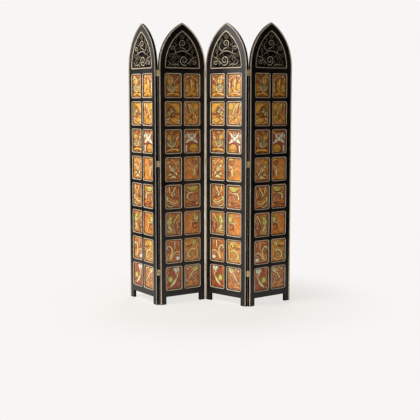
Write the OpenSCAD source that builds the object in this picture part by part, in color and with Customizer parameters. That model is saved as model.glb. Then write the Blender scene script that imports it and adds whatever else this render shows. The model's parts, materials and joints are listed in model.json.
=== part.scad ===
// Four-panel folding screen. Each panel is a tall frame with a pointed head:
// a carved board fills the head and two columns of framed tiles fill the rest.
// X runs across the screen, Y from front to back and Z upwards from the floor.
// In a panel's own frame u runs along its face, v into its thickness and z up.

/* [Panel] */
// Width of one panel
panel_w = 350; // [320:5:420]
// Thickness of the frame
panel_t = 18; // [17:0.5:24]
// Width of the two stiles
stile_w = 44; // [38:1:52]
// Height of the feet below the bottom rail
leg_h = 50; // [30:5:120]
// Height of the bottom rail
bottom_rail_h = 44; // [35:1:80]
// Height of the transom below the pointed head
transom_h = 39; // [35:1:60]

/* [Pointed head] */
// Rise of the outer arcs above their springing line
arch_rise = 279; // [249:5:339]
// Width of the two curved members
arch_w = 47; // [43:1:54]
// Straight part of the curved members below the springing line
arch_foot = 7; // [7:1:20]
// Thickness of the carved board
board_t = 6; // [4:0.5:7]
// Height of the carving's broad layer above the board
carving_low = 1.4; // [0.8:0.1:2]
// Height of the carving's ridges above the board
carving_high = 2.6; // [1.5:0.1:3.5]

/* [Tiles] */
// Number of tile rows in a panel
tile_rows = 8; // [4:1:10]
// Height of one tile opening
opening_h = 151; // [120:1:180]
// Height of the rails between the openings
rail_h = 29; // [27:1:40]
// Width of the centre mullions
mullion_w = 26; // [22:1:40]
// Thickness of a tile
tile_t = 7; // [5:0.5:8]
// Depth of a tile's face behind the front of the frame
tile_depth = 5.5; // [4:0.5:7]
// Gap round a tile or board in its opening
tile_gap = 0.2; // [0.1:0.1:0.5]

/* [Mouldings] */
// Width of the moulded frame round each tile
moulding_w = 8.5; // [7:0.5:8.5]
// Width of its lip on the front of the frame
moulding_lap = 4; // [4:0.05:4.3]
// Height of its lip above the front of the frame
moulding_proud = 1.6; // [1:0.1:1.7]
// Height of the small bevel along its outer arris
moulding_arris = 0.6; // [0.3:0.1:0.8]
// Width of its flat top, from the outer edge
moulding_flat = 3.4; // [3.3:0.1:3.8]
// Height of its inner edge above the tile
moulding_inner_h = 1.3; // [0.5:0.1:3]
// Inner radius of its corners
moulding_inner_r = 5; // [0.8:0.1:5.1]
// Inner radius of the head moulding's two lower corners
head_inner_r = 0.8; // [0.5:0.1:1]
// Width of the bead along the outer edge
bead_w = 10; // [8:0.5:13]
// Width of the black margin outside it
bead_inset = 1.5; // [1:0.25:3]
// Height of that bead above the front of the frame
bead_proud = 1.8; // [1.5:0.1:2.5]
// Rise of the bead's middle above its two edges
bead_crown = 1.2; // [0.5:0.1:1.4]
// Depth of the groove that the bead sits in
bead_seat = 1; // [0.5:0.1:1.1]
// Gap beside the bead in its groove
bead_gap = 0.1; // [0.05:0.05:0.3]

/* [Wood joints] */
// Thickness of every tenon
tenon_t = 6; // [5:0.5:8]
// Length of the tenons on the rails and stiles
rail_tenon = 22; // [12:1:28]
// Length of the tenons on the mullions
mullion_tenon = 8; // [5:0.5:10]
// Shoulder above and below, or beside, a tenon
shoulder = 4; // [3:0.5:6]
// Gap round a tenon in its mortise
tenon_gap = 0.1; // [0.05:0.05:0.3]

/* [Hinges] */
// Height of a hinge
hinge_h = 38; // [30:1:60]
// Height of the lowest hinge's middle above the floor
hinge_low_z = 216; // [150:1:300]
// Place of the middle hinge between the outer two
hinge_mid_share = 0.55; // [0.4:0.01:0.6]
// Distance of the top hinge's middle below the top of the stiles
hinge_top_drop = 36; // [30:1:80]
// Thickness of a leaf
leaf_t = 1.5; // [1.2:0.1:2.5]
// Distance that a leaf stops short of the far face
leaf_short = 1.5; // [1.2:0.1:4]
// Radius of the knuckles
knuckle_r = 3; // [2.7:0.1:3.5]
// Number of knuckles
knuckles = 5; // [3:2:7]
// Gap between two knuckles, and round a knuckle in the wood
knuckle_gap = 0.3; // [0.2:0.05:0.5]
// Radius of the pin
pin_r = 1.4; // [1:0.1:1.6]
// Clearance round the pin
pin_gap = 0.06; // [0.03:0.01:0.1]
// Radius of the pin's two buttons
button_r = 2; // [1.8:0.1:2.5]
// Height of the pin's buttons
button_h = 1; // [0.6:0.1:2]
// Gap from the pin axis to a panel's edge
edge_gap = 0.3; // [0.2:0.1:1.5]
// Gap from the pin axis to the backs of the panels
back_gap = 0.3; // [0.2:0.1:2]
// Gap between two beads when a front fold is shut, on each side of the axis
front_gap = 0.3; // [0.2:0.1:1]

/* [Screws] */
// Screws in a leaf
leaf_screws = 3; // [2:1:4]
// Distance from the first to the last screw of a leaf
screw_span = 25; // [20:1:28]
// Length of a screw
screw_l = 14; // [10:1:18]
// Length of its point
screw_point = 3; // [2:0.5:5]
// Radius of a screw's shank
screw_r = 1.35; // [1.2:0.05:1.5]
// Radius of a screw's head
screw_head_r = 2.7; // [2.3:0.1:3]
// Gap round a screw
screw_gap = 0.05; // [0.02:0.01:0.1]
// Width of the slot in a screw's head
slot_w = 0.6; // [0.4:0.1:1]

/* [Stance] */
// Turn of the first panel from the X axis, in degrees
yaw_1 = -56; // [-85:1:-20]
// Turn of the second panel
yaw_2 = 33.5; // [20:0.5:85]
// Turn of the third panel
yaw_3 = -42; // [-85:1:-20]
// Turn of the fourth panel
yaw_4 = 37; // [20:1:85]

/* [Hidden] */
$fn = 64;
wood = [0.13, 0.115, 0.11];
cream = [0.75, 0.69, 0.60];
tile_colour = [0.66, 0.40, 0.16];
brass = [0.62, 0.53, 0.32];
eps = 0.01;

// Levels of one panel, from the floor up
row_pitch = opening_h + rail_h;
first_opening_z = leg_h + bottom_rail_h;
transom_z = first_opening_z + tile_rows * row_pitch - rail_h;
stile_top = transom_z + transom_h;
spring_z = stile_top + arch_foot;
opening_w = (panel_w - 2 * stile_w - mullion_w) / 2;
// Centres of the two columns of openings
columns = [stile_w + opening_w / 2, panel_w - stile_w - opening_w / 2];

// Each outer arc has its centre on the springing line, past the middle
arc_x = (arch_rise * arch_rise - panel_w * panel_w / 4) / panel_w;
arc_r = panel_w / 2 + arc_x;

// Hinge places
front_offset = bead_proud + front_gap;
hinge_top_z = stile_top - hinge_top_drop;
hinge_mid_z = hinge_low_z + hinge_mid_share * (hinge_top_z - hinge_low_z);
hinge_zs = [hinge_low_z, hinge_mid_z, hinge_top_z];
leaf_w = panel_t - leaf_short;
knuckle_h = hinge_h / knuckles;
// The middle fold has its pins at the front, the outer two at the back
fold_in_front = [false, true, false];
function axis_gap(fold) = fold_in_front[fold - 1] ? front_offset : back_gap;

// Stance: starts[k] is where panel k+1's left front edge meets the floor
yaws = [yaw_1, yaw_2, yaw_3, yaw_4];
function along(k) = [cos(yaws[k]), sin(yaws[k])];
function inward(k) = [-sin(yaws[k]), cos(yaws[k])];
reach = panel_w + edge_gap;
back_reach = panel_t + back_gap;
start_2 = inward(1) * front_offset - along(1) * reach;
start_3 = inward(2) * front_offset + along(2) * edge_gap;
pivot_1 = start_2 - along(1) * edge_gap + inward(1) * back_reach;
pivot_3 = start_3 + along(2) * reach + inward(2) * back_reach;
start_1 = pivot_1 - along(0) * reach - inward(0) * back_reach;
start_4 = pivot_3 + along(3) * edge_gap - inward(3) * back_reach;
starts = [start_1, start_2, start_3, start_4];
corners = [for (k = [0:3], u = [0, panel_w], v = [0, panel_t])
    starts[k] + along(k) * u + inward(k) * v];
low_x = min([for (c = corners) c.x]);
high_x = max([for (c = corners) c.x]);
low_y = min([for (c = corners) c.y]);
high_y = max([for (c = corners) c.y]);
middle = [(low_x + high_x) / 2, (low_y + high_y) / 2];

// ---- placing ----

// From panel k's own frame to the screen's
module on_panel(k) {
    at = starts[k - 1] - middle;
    translate([at.x, at.y, 0]) rotate([0, 0, yaws[k - 1]]) children();
}

// Draws in the plane of a panel's front: x along u, y up, z out of the front
module on_front(u, z) {
    translate([u, 0, z]) rotate([90, 0, 0]) children();
}

// To the pin axis of a fold at one end of a panel. There the wood lies at
// negative x beyond the edge gap and at negative y beyond the axis gap.
module at_fold(fold, right_end) {
    front = fold_in_front[fold - 1];
    u = right_end ? reach : -edge_gap;
    v = front ? -front_offset : back_reach;
    translate([u, v, 0])
        mirror([right_end ? 0 : 1, 0, 0])
            mirror([0, front ? 1 : 0, 0])
                children();
}

// ---- outlines, with the origin on the springing line at mid-width ----

// Everything inside the panel's outline, drawn in by inset, above base_y
module head_outline(inset, base_y) {
    half = panel_w / 2 - inset;
    intersection() {
        translate([-arc_x, 0]) circle(r = arc_r - inset, $fn = 180);
        translate([arc_x, 0]) circle(r = arc_r - inset, $fn = 180);
        translate([-half, 0]) square([2 * half, arch_rise]);
    }
    translate([-half, base_y]) square([2 * half, -base_y]);
}

// ---- mouldings ----

// Section of the tile frames: x = 0 is the outer edge, y = 0 the frame's front
module moulding_section() {
    body_x = -moulding_lap - tile_gap;
    polygon([
        [0, 0], [0, moulding_proud - moulding_arris],
        [-moulding_arris, moulding_proud], [-moulding_flat, moulding_proud],
        [-moulding_w, moulding_inner_h - tile_depth], [-moulding_w, -tile_depth],
        [body_x, -tile_depth], [body_x, 0]
    ]);
}

// Section of the edge bead: x = 0 is the outer edge, with a rounded top
module bead_section() {
    steps = 8;
    round_r = (bead_w * bead_w / 4 + bead_crown * bead_crown) / (2 * bead_crown);
    half_angle = asin(bead_w / 2 / round_r);
    polygon(concat(
        [[-bead_w, -bead_seat]],
        [for (i = [0:steps]) let (a = half_angle * (2 * i / steps - 1))
            [round_r * sin(a) - bead_w / 2, bead_proud + round_r * (cos(a) - 1)]],
        [[0, -bead_seat]]
    ));
}

// A straight run of a section, from the origin towards -y
module run(length) {
    rotate([90, 0, 0]) linear_extrude(length) children();
}

// A section turned about the arc's centre and mitred at mid-width
module arc_run(inset) {
    outer = arc_r - inset;
    sweep = acos(arc_x / outer);
    intersection() {
        translate([-arc_x, 0, 0]) rotate_extrude(angle = sweep + 1, $fn = 180)
            translate([outer, 0]) children();
        translate([0, -1, -panel_t]) cube([panel_w, arch_rise + 2, 2 * panel_t]);
    }
}

// A rectangular frame with rounded corners, outer size w by h
module moulding_ring(w, h) {
    r = moulding_w + moulding_inner_r;
    for (i = [0:3]) rotate(90 * i) {
        a = i % 2 == 0 ? w : h;
        b = i % 2 == 0 ? h : w;
        translate([a / 2, b / 2 - r, 0]) run(b - 2 * r) moulding_section();
        translate([a / 2 - r, b / 2 - r, 0])
            rotate_extrude(angle = 90) translate([r, 0]) moulding_section();
    }
}

// The same moulding round the pointed head
module head_moulding() {
    r = moulding_w + head_inner_r;
    inset = arch_w - moulding_lap;
    half = panel_w / 2 - inset;
    base = -arch_foot - moulding_lap;
    for (s = [0, 1]) mirror([s, 0, 0]) {
        arc_run(inset) moulding_section();
        translate([half, 0, 0]) run(-base - r) moulding_section();
        translate([half - r, base + r, 0]) rotate([0, 0, -90])
            rotate_extrude(angle = 90) translate([r, 0]) moulding_section();
    }
    translate([half - r, base, 0]) rotate([0, 0, -90])
        run(2 * (half - r)) moulding_section();
}

// ---- hinge cuts, in the frame that at_fold gives ----

// The seat of a leaf, with room for the knuckles and the pin's buttons
module hinge_gain(fold) {
    deep = axis_gap(fold) + leaf_w + tenon_gap;
    high = hinge_h + 2 * tenon_gap;
    button_room = 2 * (button_h + knuckle_gap);
    for (z = hinge_zs) translate([0, 0, z]) {
        translate([-edge_gap - leaf_t, -deep, -high / 2])
            cube([leaf_t + edge_gap, deep + knuckle_r, high]);
        cylinder(r = knuckle_r + knuckle_gap, h = hinge_h + button_room, center = true);
    }
}

// Puts children at each screw of a fold's leaves, heads towards +x. The screws
// stand midway between the knuckle and the far edge of the leaf.
module at_screws(fold) {
    across = (knuckle_r + axis_gap(fold) + leaf_w) / 2;
    step = screw_span / (leaf_screws - 1);
    for (z = hinge_zs, i = [0:leaf_screws - 1])
        translate([-edge_gap, -across, z - screw_span / 2 + i * step])
            rotate([0, -90, 0]) children();
}

// Room for a screw: its countersink opens through the leaf's face
module screw_hole() {
    shank = screw_r + screw_gap;
    head = screw_head_r + screw_gap;
    sink = screw_head_r - screw_r;
    deep = screw_l + leaf_t;
    rotate_extrude() polygon([
        [0, -leaf_t], [head, -leaf_t], [head, 0], [shank, sink], [shank, deep], [0, deep]
    ]);
}

// ---- frame members ----

// Bottom z and height of every rail, from the bottom rail to the transom
rails = concat(
    [[leg_h, bottom_rail_h]],
    [for (i = [1:tile_rows - 1]) [first_opening_z + i * row_pitch - rail_h, rail_h]],
    [[transom_z, transom_h]]
);
tenon_v = (panel_t - tenon_t) / 2;

// The left stile before its hinges are let in
module stile_blank() {
    difference() {
        union() {
            cube([stile_w, panel_t, stile_top]);
            translate([2 * shoulder, tenon_v, 0])
                cube([stile_w - 3 * shoulder, tenon_t, stile_top + rail_tenon]);
        }
        translate([bead_inset - bead_gap, -1, -1])
            cube([bead_w + 2 * bead_gap, bead_seat + 1, stile_top + 2]);
        for (r = rails)
            translate([stile_w - rail_tenon - 1, tenon_v - tenon_gap, r[0] + shoulder - tenon_gap])
                cube([rail_tenon + 2, tenon_t + 2 * tenon_gap, r[1] - 2 * shoulder + 2 * tenon_gap]);
    }
}

module hinge_cuts(fold, right_end) {
    at_fold(fold, right_end) {
        hinge_gain(fold);
        at_screws(fold) screw_hole();
    }
}

module left_stile(k) {
    color(wood) difference() {
        stile_blank();
        if (k > 1) hinge_cuts(k - 1, false);
    }
}

module right_stile(k) {
    color(wood) difference() {
        translate([panel_w, 0, 0]) mirror([1, 0, 0]) stile_blank();
        if (k < 4) hinge_cuts(k, true);
    }
}

// The right-hand curved member, with the bead's groove and the stile's mortise
module arch_member() {
    base = -arch_foot;
    difference() {
        translate([0, 0, -panel_t]) linear_extrude(panel_t) intersection() {
            difference() {
                head_outline(0, base);
                head_outline(arch_w, base - 1);
            }
            translate([0, base]) square([panel_w, arch_rise + arch_foot + 1]);
        }
        translate([0, 0, -bead_seat]) linear_extrude(bead_seat + 1) difference() {
            head_outline(bead_inset - bead_gap, base - 1);
            head_outline(bead_inset + bead_w + bead_gap, base - 2);
        }
        translate([panel_w / 2 - stile_w + shoulder - tenon_gap, base - 1, -tenon_v - tenon_t - tenon_gap])
            cube([stile_w - 3 * shoulder + 2 * tenon_gap, rail_tenon + 2, tenon_t + 2 * tenon_gap]);
    }
}

module arch_right() {
    color(wood) on_front(panel_w / 2, spring_z) arch_member();
}

module arch_left() {
    color(wood) on_front(panel_w / 2, spring_z) mirror([1, 0, 0]) arch_member();
}

// A rail with a tenon at each end and mortises for the mullions that meet it
module rail(z, h, mullion_above, mullion_below) {
    wide = mullion_w - 2 * shoulder + 2 * tenon_gap;
    thick = tenon_t + 2 * tenon_gap;
    deep = mullion_tenon + 5 * tenon_gap;
    difference() {
        union() {
            translate([stile_w, 0, z]) cube([panel_w - 2 * stile_w, panel_t, h]);
            translate([stile_w - rail_tenon, tenon_v, z + shoulder])
                cube([panel_w - 2 * (stile_w - rail_tenon), tenon_t, h - 2 * shoulder]);
        }
        translate([(panel_w - wide) / 2, tenon_v - tenon_gap, z]) {
            if (mullion_above) translate([0, 0, h - deep]) cube([wide, thick, deep + 1]);
            if (mullion_below) translate([0, 0, -1]) cube([wide, thick, deep + 1]);
        }
    }
}

module bottom_rail() {
    color(wood) rail(leg_h, bottom_rail_h, true, false);
}

// The rails between the tiles, and the transom above them
module cross_rails() {
    color(wood) for (i = [1:tile_rows])
        rail(rails[i][0], rails[i][1], i < tile_rows, true);
}

module mullions() {
    color(wood) for (i = [0:tile_rows - 1]) {
        z = first_opening_z + i * row_pitch;
        translate([(panel_w - mullion_w) / 2, 0, z]) cube([mullion_w, panel_t, opening_h]);
        translate([(panel_w - mullion_w) / 2 + shoulder, tenon_v, z - mullion_tenon])
            cube([mullion_w - 2 * shoulder, tenon_t, opening_h + 2 * mullion_tenon]);
    }
}

// ---- tiles and mouldings ----

module tiles() {
    color(tile_colour) for (u = columns, i = [0:tile_rows - 1])
        translate([u - opening_w / 2 + tile_gap, tile_depth, first_opening_z + i * row_pitch + tile_gap])
            cube([opening_w - 2 * tile_gap, tile_t, opening_h - 2 * tile_gap]);
}

module tile_frames() {
    color(cream) {
        for (u = columns, i = [0:tile_rows - 1])
            on_front(u, first_opening_z + i * row_pitch + opening_h / 2)
                moulding_ring(opening_w + 2 * moulding_lap, opening_h + 2 * moulding_lap);
        on_front(panel_w / 2, spring_z) head_moulding();
    }
}

// The bead up both stiles and over the head, notched round front knuckles
module edge_bead(k) {
    color(cream) difference() {
        on_front(panel_w / 2, spring_z) for (s = [0, 1]) mirror([s, 0, 0]) {
            translate([panel_w / 2 - bead_inset, 0, 0]) run(spring_z) bead_section();
            arc_run(bead_inset) bead_section();
        }
        if (k > 1 && fold_in_front[k - 2]) at_fold(k - 1, false) hinge_gain(k - 1);
        if (k < 4 && fold_in_front[k - 1]) at_fold(k, true) hinge_gain(k);
    }
}

// ---- carved board ----

// The part of the board that shows inside its moulding
visible_inset = arch_w - moulding_lap + moulding_w;
visible_base = moulding_w - moulding_lap - arch_foot;
visible_half = panel_w / 2 - visible_inset;
visible_h = sqrt(pow(arc_r - visible_inset, 2) - arc_x * arc_x) - visible_base;
// The scrollwork is drawn on a grid with this many squares in half the visible
// width and in the visible height
grid = [123.5, 223];
carving_scale = min(visible_half / grid.x, visible_h / grid.y);

// Points of a curve with four control points
function curve(a, b, c, d, steps = 10) = [for (i = [0:steps]) let (t = i / steps, s = 1 - t)
    s * s * s * a + 3 * s * s * t * b + 3 * s * t * t * c + t * t * t * d];
// Points of a spiral that winds in from radius r to a fifth of it
function spiral(centre, r, turns, start, way) = let (steps = round(16 * turns))
    [for (i = [0:steps]) let (s = i / steps, a = start + way * 360 * turns * s)
        centre + r * (1 - 0.8 * s) * [cos(a), sin(a)]];
// Point i of a line of points, moved sideways
function beside(line, i, by) = let (
    before = line[max(i - 1, 0)],
    after = line[min(i + 1, len(line) - 1)],
    heading = (after - before) / norm(after - before)
) line[i] + by * [-heading.y, heading.x];

// A band along a line of points whose width runs from w0 to w1. A ridge below 1
// thins it and stops it one point short at both ends, so that it lies inside.
module band(line, w0, w1, ridge) {
    first = ridge < 1 ? 1 : 0;
    last = len(line) - 1;
    function half(i) = ridge * (w0 + (w1 - w0) * i / last) / 2;
    polygon(concat(
        [for (i = [first:last - first]) beside(line, i, half(i))],
        [for (i = [last - first:-1:first]) beside(line, i, -half(i))]
    ));
}

// A spiral scroll that ends in a round eye
module volute(centre, r, turns, start, way, w, ridge) {
    line = spiral(centre, r, turns, start, way);
    band(line, w, w * 0.7, ridge);
    translate(line[len(line) - 1]) circle(r = (0.5 + 0.5 * ridge) * 0.17 * r);
}

// A curved leaf from a point: pointed at both ends and bent to one side
module leaf(from, angle, length, width, bend, ridge) {
    steps = 8;
    first = 0.2 * (1 - ridge);
    last = 1 - 0.3 * (1 - ridge);
    function spine(s) = let (t = first + (last - first) * s) length * [t, bend * t * t];
    function swell(s) = ridge * width / 2 * sin(180 * pow(s, 0.8));
    translate(from) rotate(angle) polygon(concat(
        [for (i = [0:steps]) spine(i / steps) + [0, swell(i / steps)]],
        [for (i = [steps - 1:-1:1]) spine(i / steps) - [0, swell(i / steps)]]
    ));
}

// Foliate scrolls that fill the head, in squares of the grid: x from mid-width,
// y from the board's visible base. A ridge below 1 thins every stroke for the
// upper layer.
module scrollwork(ridge) {
    stem_w = 7;
    // the low scroll, fed from the left
    volute([-12, 43], 33, 1.5, -125, 1, 8, ridge);
    band(curve([-110, 66], [-78, 64], [-62, 34], [-31, 16]), 4, stem_w, ridge);
    // the arched stem over it, from the knot at the right
    band(curve([54, 82], [34, 112], [-30, 108], [-66, 76]), stem_w, 4, ridge);
    leaf([-62, 79], 200, 34, 15, 0.25, ridge);
    // leaves that hang from the knot
    leaf([54, 86], -128, 46, 15, -0.2, ridge);
    leaf([56, 84], -96, 50, 15, 0.12, ridge);
    leaf([57, 84], -62, 58, 15, 0.16, ridge);
    leaf([56, 88], -24, 50, 14, 0.2, ridge);
    // the small scroll at the right
    volute([75, 118], 18, 1.25, -150, -1, 6, ridge);
    band(curve([54, 82], [50, 92], [52, 101], [59.4, 109]), stem_w, 6, ridge);
    leaf([58, 116], 118, 34, 11, -0.15, ridge);
    // the high scroll, fed from the arched stem
    volute([-2, 150], 26, 1.35, -60, 1, 7, ridge);
    band(curve([-32, 102], [-26, 122], [-6, 118], [11, 127.5]), 4, stem_w, ridge);
    band(curve([-34, 101], [-54, 108], [-64, 126], [-60, 148]), 6, 3, ridge);
    leaf([-55, 120], 158, 30, 12, -0.2, ridge);
    leaf([-60, 140], 60, 36, 12, -0.25, ridge);
    leaf([30, 138], 10, 32, 12, 0.25, ridge);
    // the spray at the top
    leaf([2, 178], 92, 38, 13, 0.05, ridge);
    leaf([6, 176], 52, 30, 11, 0.35, ridge);
    leaf([-4, 178], 128, 26, 11, -0.3, ridge);
    // the left edge and the lower corners
    leaf([-70, 80], 138, 32, 12, -0.2, ridge);
    leaf([-72, 92], 100, 30, 11, 0.2, ridge);
    volute([-88, 26], 15, 1.2, 40, 1, 6, ridge);
    band(curve([-60, 46], [-66, 50], [-72, 46], [-76.5, 35.6]), 5, 6, ridge);
    leaf([-66, 36], -72, 34, 12, 0.2, ridge);
    leaf([-104, 50], -110, 34, 11, 0.2, ridge);
    band(curve([26, 6], [44, 30], [74, 8], [106, 34]), stem_w, 4, ridge);
    leaf([62, 20], 52, 30, 12, 0.2, ridge);
    leaf([84, 19], -6, 26, 10, -0.2, ridge);
    leaf([20, 12], 30, 22, 9, 0.3, ridge);
    leaf([88, 60], 40, 24, 10, 0.3, ridge);
}

// The board with its carving. The first two panels have it the other way round.
module lunette(k) {
    color(wood) on_front(panel_w / 2, spring_z) {
        translate([0, 0, -tile_depth - board_t]) linear_extrude(board_t)
            head_outline(arch_w + tile_gap, tile_gap - arch_foot);
        for (layer = [[carving_low, 1], [carving_high, 0.5]])
            translate([0, 0, -tile_depth - eps]) linear_extrude(layer[0] + eps) intersection() {
                head_outline(visible_inset + 2 * tile_gap, visible_base + 2 * tile_gap);
                translate([0, visible_base]) scale(carving_scale)
                    mirror([k < 3 ? 1 : 0, 0]) scrollwork(layer[1]);
            }
    }
}

// ---- hinges ----

// A leaf with the knuckles of one parity, its pin bore and its screw holes
module hinge_leaves(fold, right_end, first) {
    long = axis_gap(fold) + leaf_w;
    color(brass) at_fold(fold, right_end) difference() {
        for (z = hinge_zs) translate([0, 0, z]) difference() {
            union() {
                translate([-edge_gap - leaf_t, -long, -hinge_h / 2]) cube([leaf_t, long, hinge_h]);
                for (i = [first:2:knuckles - 1])
                    translate([0, 0, -hinge_h / 2 + i * knuckle_h + knuckle_gap / 2])
                        cylinder(r = knuckle_r, h = knuckle_h - knuckle_gap);
            }
            cylinder(r = pin_r + pin_gap, h = hinge_h + 1, center = true);
            for (i = [1 - first:2:knuckles - 1])
                translate([0, 0, -hinge_h / 2 + i * knuckle_h])
                    cylinder(r = knuckle_r + knuckle_gap, h = knuckle_h);
        }
        at_screws(fold) screw_hole();
    }
}

// The pins, each with a button at both ends that bears on the ends of a leaf
module hinge_pins(fold) {
    bearing = hinge_h / 2;
    end = bearing + button_h;
    round_off = button_h / 2;
    color(brass) at_fold(fold, true) for (z = hinge_zs) translate([0, 0, z])
        rotate_extrude() polygon([
            [0, -end], [button_r - round_off, -end], [button_r, round_off - end], [button_r, -bearing],
            [pin_r, -bearing], [pin_r, bearing],
            [button_r, bearing], [button_r, end - round_off], [button_r - round_off, end], [0, end]
        ]);
}

// Slotted countersunk screws, flush with the leaf
module hinge_screws(fold, right_end) {
    sink = screw_head_r - screw_r;
    color(brass) at_fold(fold, right_end) at_screws(fold) difference() {
        rotate_extrude() polygon([
            [0, 0], [screw_head_r, 0], [screw_r, sink], [screw_r, screw_l - screw_point], [0, screw_l]
        ]);
        translate([-slot_w / 2, -screw_head_r - 1, -1]) cube([slot_w, 2 * screw_head_r + 2, 1 + sink / 2]);
    }
}

// The leaf on the left-hand panel of a fold has the outer knuckles, between the
// pin's buttons, and the leaf on the other panel has the knuckles between them
module outer_leaves(fold) {
    hinge_leaves(fold, true, 0);
}

module inner_leaves(fold) {
    hinge_leaves(fold, false, 1);
}

// ---- the screen ----

on_panel(1) left_stile(1);  // left_stile_1
on_panel(1) right_stile(1);  // right_stile_1
on_panel(1) arch_left();  // arch_left_1
on_panel(1) arch_right();  // arch_right_1
on_panel(1) bottom_rail();  // bottom_rail_1
on_panel(1) cross_rails();  // cross_rails_1
on_panel(1) mullions();  // mullions_1
on_panel(1) lunette(1);  // lunette_1
on_panel(1) tiles();  // tiles_1
on_panel(1) tile_frames();  // tile_frames_1
on_panel(1) edge_bead(1);  // edge_bead_1
on_panel(2) left_stile(2);  // left_stile_2
on_panel(2) right_stile(2);  // right_stile_2
on_panel(2) arch_left();  // arch_left_2
on_panel(2) arch_right();  // arch_right_2
on_panel(2) bottom_rail();  // bottom_rail_2
on_panel(2) cross_rails();  // cross_rails_2
on_panel(2) mullions();  // mullions_2
on_panel(2) lunette(2);  // lunette_2
on_panel(2) tiles();  // tiles_2
on_panel(2) tile_frames();  // tile_frames_2
on_panel(2) edge_bead(2);  // edge_bead_2
on_panel(3) left_stile(3);  // left_stile_3
on_panel(3) right_stile(3);  // right_stile_3
on_panel(3) arch_left();  // arch_left_3
on_panel(3) arch_right();  // arch_right_3
on_panel(3) bottom_rail();  // bottom_rail_3
on_panel(3) cross_rails();  // cross_rails_3
on_panel(3) mullions();  // mullions_3
on_panel(3) lunette(3);  // lunette_3
on_panel(3) tiles();  // tiles_3
on_panel(3) tile_frames();  // tile_frames_3
on_panel(3) edge_bead(3);  // edge_bead_3
on_panel(4) left_stile(4);  // left_stile_4
on_panel(4) right_stile(4);  // right_stile_4
on_panel(4) arch_left();  // arch_left_4
on_panel(4) arch_right();  // arch_right_4
on_panel(4) bottom_rail();  // bottom_rail_4
on_panel(4) cross_rails();  // cross_rails_4
on_panel(4) mullions();  // mullions_4
on_panel(4) lunette(4);  // lunette_4
on_panel(4) tiles();  // tiles_4
on_panel(4) tile_frames();  // tile_frames_4
on_panel(4) edge_bead(4);  // edge_bead_4
on_panel(1) outer_leaves(1);  // hinge_leaves_1a
on_panel(2) inner_leaves(1);  // hinge_leaves_1b
on_panel(1) hinge_pins(1);  // hinge_pins_1
on_panel(1) hinge_screws(1, true);  // hinge_screws_1a
on_panel(2) hinge_screws(1, false);  // hinge_screws_1b
on_panel(2) outer_leaves(2);  // hinge_leaves_2a
on_panel(3) inner_leaves(2);  // hinge_leaves_2b
on_panel(2) hinge_pins(2);  // hinge_pins_2
on_panel(2) hinge_screws(2, true);  // hinge_screws_2a
on_panel(3) hinge_screws(2, false);  // hinge_screws_2b
on_panel(3) outer_leaves(3);  // hinge_leaves_3a
on_panel(4) inner_leaves(3);  // hinge_leaves_3b
on_panel(3) hinge_pins(3);  // hinge_pins_3
on_panel(3) hinge_screws(3, true);  // hinge_screws_3a
on_panel(4) hinge_screws(3, false);  // hinge_screws_3b
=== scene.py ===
import json
import math

import bmesh
import bpy
import numpy as np
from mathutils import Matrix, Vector

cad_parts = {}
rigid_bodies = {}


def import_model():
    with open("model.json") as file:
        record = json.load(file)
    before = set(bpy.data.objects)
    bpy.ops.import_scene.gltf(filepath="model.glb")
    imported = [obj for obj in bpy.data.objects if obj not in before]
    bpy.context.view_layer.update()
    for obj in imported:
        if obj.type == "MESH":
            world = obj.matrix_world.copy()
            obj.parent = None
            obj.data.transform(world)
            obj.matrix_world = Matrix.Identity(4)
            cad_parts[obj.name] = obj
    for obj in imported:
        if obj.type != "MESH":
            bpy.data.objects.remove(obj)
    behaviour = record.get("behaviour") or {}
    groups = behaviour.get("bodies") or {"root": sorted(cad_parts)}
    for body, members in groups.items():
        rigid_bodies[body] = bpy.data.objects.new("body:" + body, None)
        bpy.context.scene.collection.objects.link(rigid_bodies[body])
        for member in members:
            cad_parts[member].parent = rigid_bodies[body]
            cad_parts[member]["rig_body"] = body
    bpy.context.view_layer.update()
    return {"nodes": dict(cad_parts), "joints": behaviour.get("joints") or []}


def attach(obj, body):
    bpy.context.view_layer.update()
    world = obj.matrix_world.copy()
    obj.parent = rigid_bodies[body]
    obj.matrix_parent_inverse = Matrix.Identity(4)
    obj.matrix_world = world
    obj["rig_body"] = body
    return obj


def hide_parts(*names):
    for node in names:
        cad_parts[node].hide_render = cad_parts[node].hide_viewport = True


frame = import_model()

mm = 0.001
print("frame loaded:", len(frame["nodes"]), "nodes")

# The four panels. u runs along a panel's face, v into its thickness, z up.
screen = {
    "panelCount": 4,
    "panelWidth": 350 * mm,
    "panelThickness": 18 * mm,
    "turns": (-56, 33.5, -42, 37),      # turn of each panel from the X axis, in degrees
    "edgeGap": 0.3 * mm,                # from a pin's axis to the panels' edges
    "backGap": 0.3 * mm,                # from a back pin's axis to the panels' backs
    "frontGap": 2.1 * mm,               # from a front pin's axis to the panels' fronts
    "springLine": 1551 * mm,            # height at which the pointed head starts
    "headRise": 279 * mm,
    "mirrored": (1, 2),                 # panels whose carving runs the other way round
}
tiling = {
    "rows": 8,
    "firstOpening": 94 * mm,            # underside of the lowest opening
    "rowPitch": 180 * mm,
    "openingWidth": 118 * mm,
    "openingHeight": 151 * mm,
    "columns": (103 * mm, 247 * mm),    # centres of the two columns
}


def srgb(red, green, blue):
    # colour written as 0 to 255, given back as the linear values that shaders use
    c = np.array([red, green, blue]) / 255
    return tuple(np.where(c <= 0.04045, c / 12.92, ((c + 0.055) / 1.055) ** 2.4))


def smooth(low, high, x):
    # 0 below low, 1 above high, and an S curve between
    t = np.clip((x - low) / (high - low), 0, 1)
    return t * t * (3 - 2 * t)


# Where things go

pins = {j["name"]: np.array(j["pos_m"][:2]) for j in frame["joints"]}


def directions(k):
    # seen from above, the directions along panel k's face and into its thickness
    turn = math.radians(screen["turns"][k - 1])
    along = np.array([math.cos(turn), math.sin(turn)])
    return along, np.array([-along[1], along[0]])


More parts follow.
